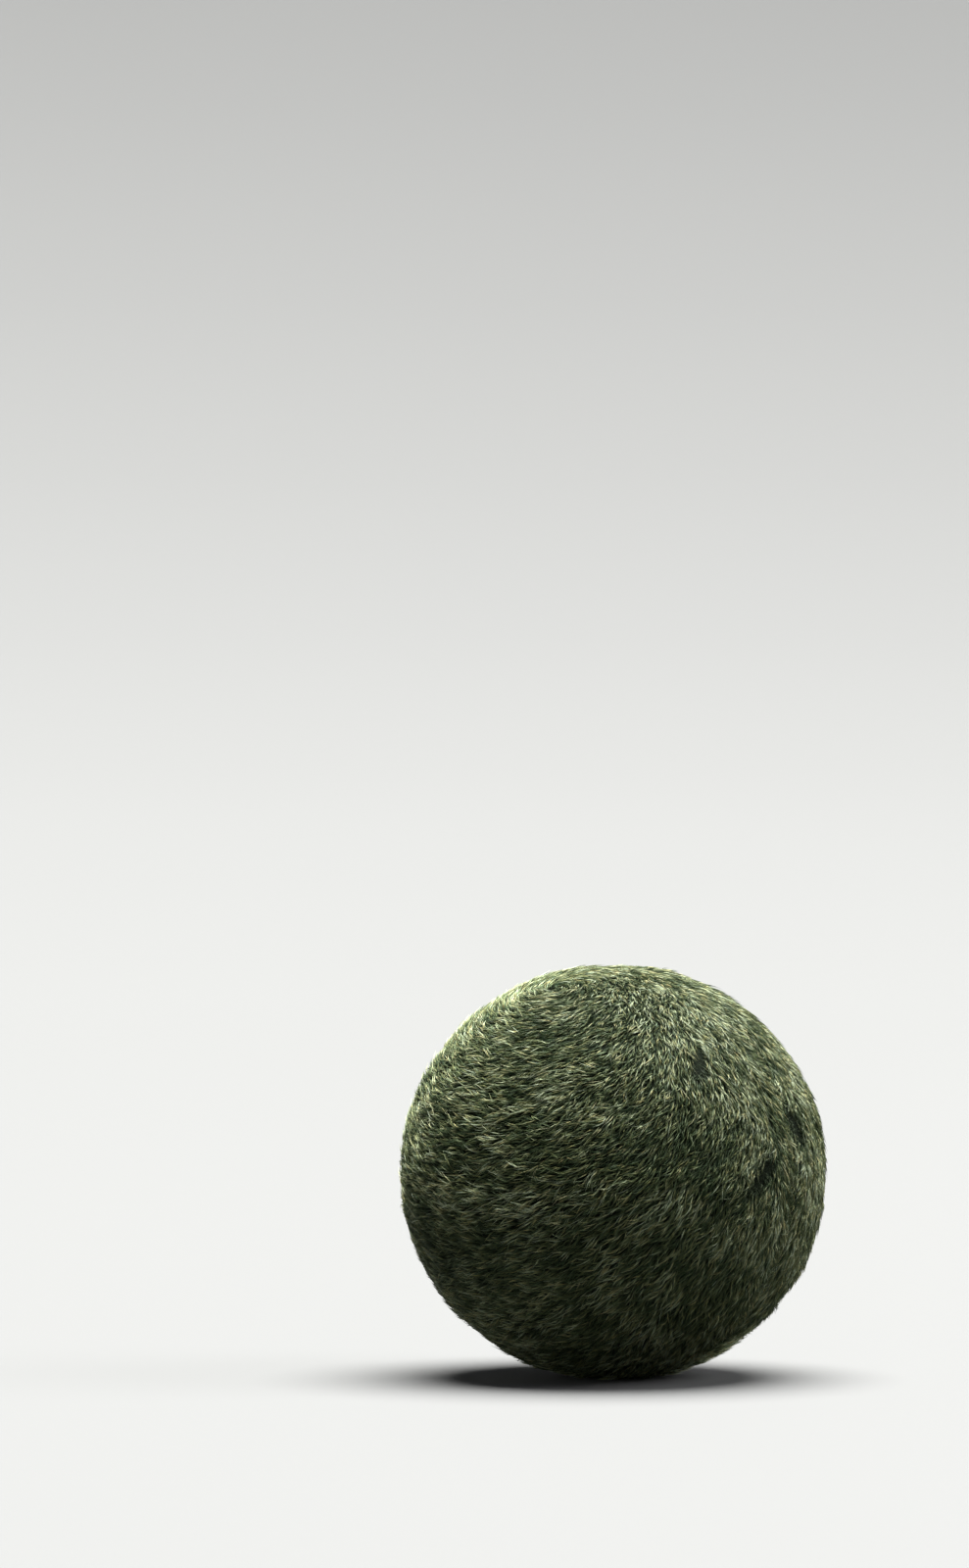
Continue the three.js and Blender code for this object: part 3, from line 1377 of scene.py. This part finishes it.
# The undercoat is coloured darker than the top coat: painted shade under the top coat
SHADED_UNDER_DYE = Dye(
    root=(0.018, 0.027, 0.015, 1.0),
    deep=(0.035, 0.062, 0.031, 1.0),
    body=(0.180, 0.242, 0.132, 1.0),
    pale=(0.490, 0.575, 0.370, 1.0),
)

TOP_DYE = Dye(
    root=(0.020, 0.027, 0.014, 1.0),
    deep=(0.045, 0.068, 0.027, 1.0),
    body=(0.232, 0.262, 0.128, 1.0),
    pale=(0.630, 0.635, 0.385, 1.0),
)

LONG_DYE = Dye(
    root=(0.018, 0.027, 0.015, 1.0),
    deep=(0.041, 0.066, 0.031, 1.0),
    body=(0.218, 0.258, 0.150, 1.0),
    pale=(0.620, 0.640, 0.455, 1.0),
)

FIBRE_GLOSS = {"Specular Tint": (0.90, 0.96, 0.74, 1.0)}
UNDER_GLOSS = FIBRE_GLOSS | {"Roughness": 0.6, "Specular IOR Level": 0.07}
TOP_GLOSS = FIBRE_GLOSS | {"Roughness": 0.5, "Specular IOR Level": 0.11}
LONG_GLOSS = FIBRE_GLOSS | {"Roughness": 0.45, "Specular IOR Level": 0.14}

UNDERCOAT = Coat(
    name="undercoat",
    fibres=40000,
    steps=1,
    locks_per_mm2=6.0,
    length=1.5 * MM,
    width=0.15 * MM,
    rise=0.35 * MM,
    gathering=0.4,
    wander=30.0,
    curl=0.2,
    # A lower tone than the top coat's: painted shade under it
    tone=0.41,
    tone_spread=0.75,
    finish=PileFinish("Under pile", UNDER_GLOSS, SHADED_UNDER_DYE),
)

TOPCOAT = Coat(
    name="topcoat",
    fibres=19400,
    steps=2,
    locks_per_mm2=4.5,
    length=1.65 * MM,
    width=0.12 * MM,
    rise=0.65 * MM,
    gathering=0.45,
    wander=28.0,
    curl=0.3,
    tone=0.49,
    tone_spread=0.9,
    finish=PileFinish("Top pile", TOP_GLOSS, TOP_DYE),
)

STRANDS = Coat(
    name="strands",
    fibres=12000,
    steps=2,
    locks_per_mm2=2.5,
    length=2.3 * MM,
    width=0.10 * MM,
    rise=0.72 * MM,
    gathering=0.5,
    wander=24.0,
    curl=0.35,
    tone=0.54,
    tone_spread=0.9,
    finish=PileFinish("Long pile", LONG_GLOSS, LONG_DYE),
)

BACKING = BackingFinish(
    name="Pile foot with painted shade",
    even={"Roughness": 0.9, "Specular IOR Level": 0.05},
    # Near-black: painted shade deep under the pile and in its partings
    dye=Dye(
        root=(0.002, 0.003, 0.002, 1.0),
        deep=(0.003, 0.005, 0.003, 1.0),
        body=(0.006, 0.009, 0.005, 1.0),
        pale=(0.012, 0.016, 0.009, 1.0),
        root_start=0.2,
        root_end=0.6,
    ),
    grain_size=0.4 * MM,
    grain_depth=0.15 * MM,
)

CAGE_PLASTIC = MouldedFinish(
    name="Moulded plastic",
    even={"IOR": 1.5},
    dark=(0.050, 0.052, 0.052, 1.0),
    light=(0.085, 0.087, 0.086, 1.0),
    grain_size=0.25 * MM,
    grain_depth=0.03 * MM,
    roughness=(0.45, 0.62),
)

# Each spot's azimuth, elevation, reach and amount, and each parting's two ends and width
FRONT_NAP = Nap(
    swirl=(0.45, 0.56, -0.56),
    drift=(-0.30, 0.27, -0.09),
    cowlicks=(
        Spot(-60, 37, 20, 35),
        Spot(-72, -49, 20, 20),
        Spot(-38, 28, 18, 22),
    ),
    partings=(
        Parting((-61, 37), (-62.5, 32), 0.9),
        Parting((-43, 4), (-48.5, -1), 1.1),
    ),
    # Painted highlights on lit ridges of pile, and painted shade where the amount is negative
    crests=(
        Spot(-62, 44, 4, 0.25),
        Spot(-53, 44, 9, 0.18),
        Spot(-41, 33, 9, 0.20),
        Spot(-38, 10, 8, 0.16),
        Spot(-37, -14, 11, 0.14),
        Spot(-103, 22, 12, 0.14),
        Spot(-114, -6, 9, 0.14),
        Spot(-68, 6, 12, -0.12),
        Spot(-88, -16, 16, -0.12),
    ),
)

SIDE_NAP = Nap(
    swirl=(-0.13, -0.16, -0.60),
    drift=(0.41, 0.29, -0.58),
    partings=(Parting((-29.5, 17.5), (-27.5, 12), 1.2),),
    # Painted highlights on lit ridges of pile
    crests=(
        Spot(-26, 28, 12, 0.12),
        Spot(-28, -20, 12, 0.12),
    ),
)

STUDIO = Studio(
    lights=(
        Skylight("skylight", azimuth=50, elevation=81, power=18.6, tint=(1.0, 1.0, 0.96)),
        Softbox("side_softbox", azimuth=-5, elevation=32, power=12),
    ),
    paper=PaperFinish(
        name="Pale paper",
        even={"Roughness": 0.9},
        paper=(0.115, 0.116, 0.118, 1.0),
        bounce=(0.05, 0.052, 0.052, 1.0),
    ),
)


def main() -> None:
    """Builds the ball from the inside out, then the studio round it."""
    logging.basicConfig(level=logging.INFO, format="%(name)s: %(message)s")
    ball = Ball()
    Camera().place(ball)
    dyehouse = Dyehouse()
    made = Cage(CAGE_PLASTIC, dyehouse).build()
    tree = PileTree()
    coats = (UNDERCOAT, TOPCOAT, STRANDS)
    for panel, nap, seed in ((Panel.FRONT, FRONT_NAP, 11), (Panel.SIDE, SIDE_NAP, 47)):
        made += CoverPanel(ball, panel, nap, coats, BACKING, dyehouse, tree, seed).build()
    for piece in made:
        log.info("%s: %d faces", piece.name, len(piece.data.polygons))
    STUDIO.build(ball, dyehouse)


if __name__ == "__main__":
    main()
